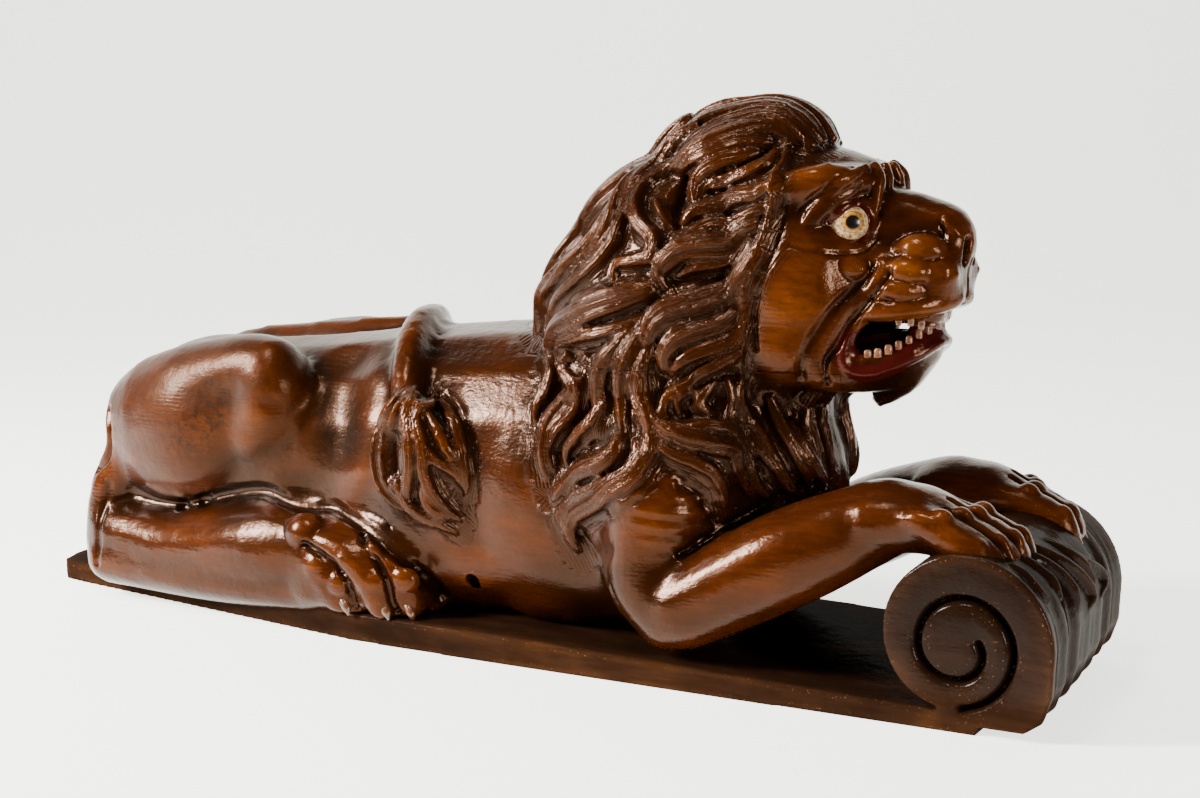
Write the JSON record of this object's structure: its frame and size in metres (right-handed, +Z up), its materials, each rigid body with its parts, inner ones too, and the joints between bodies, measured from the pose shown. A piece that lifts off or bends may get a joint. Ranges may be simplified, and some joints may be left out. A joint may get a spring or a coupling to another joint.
{
  "type": "ship rudder lion carving",
  "caption": "Crouching lion carved in oak, varnished, with its forepaws over a scroll at the end of its long base, made to be fixed on top of a rudder.",
  "frame": {"origin": "on the flat underside of the base, on its centre line, 386 mm in front of the base's tail end", "axes": "+X points from the lion's tail to its scroll, +Y to the lion's left side, +Z up from the underside"},
  "size_m": [0.777, 0.2115, 0.353],
  "materials": {
    "varnished_oak": "old glossy varnish over dark red-brown stained oak"
  },
  "bodies": {
    "root": {"body_block": "varnished_oak", "head_block": "varnished_oak"}
  },
  "joints": []
}
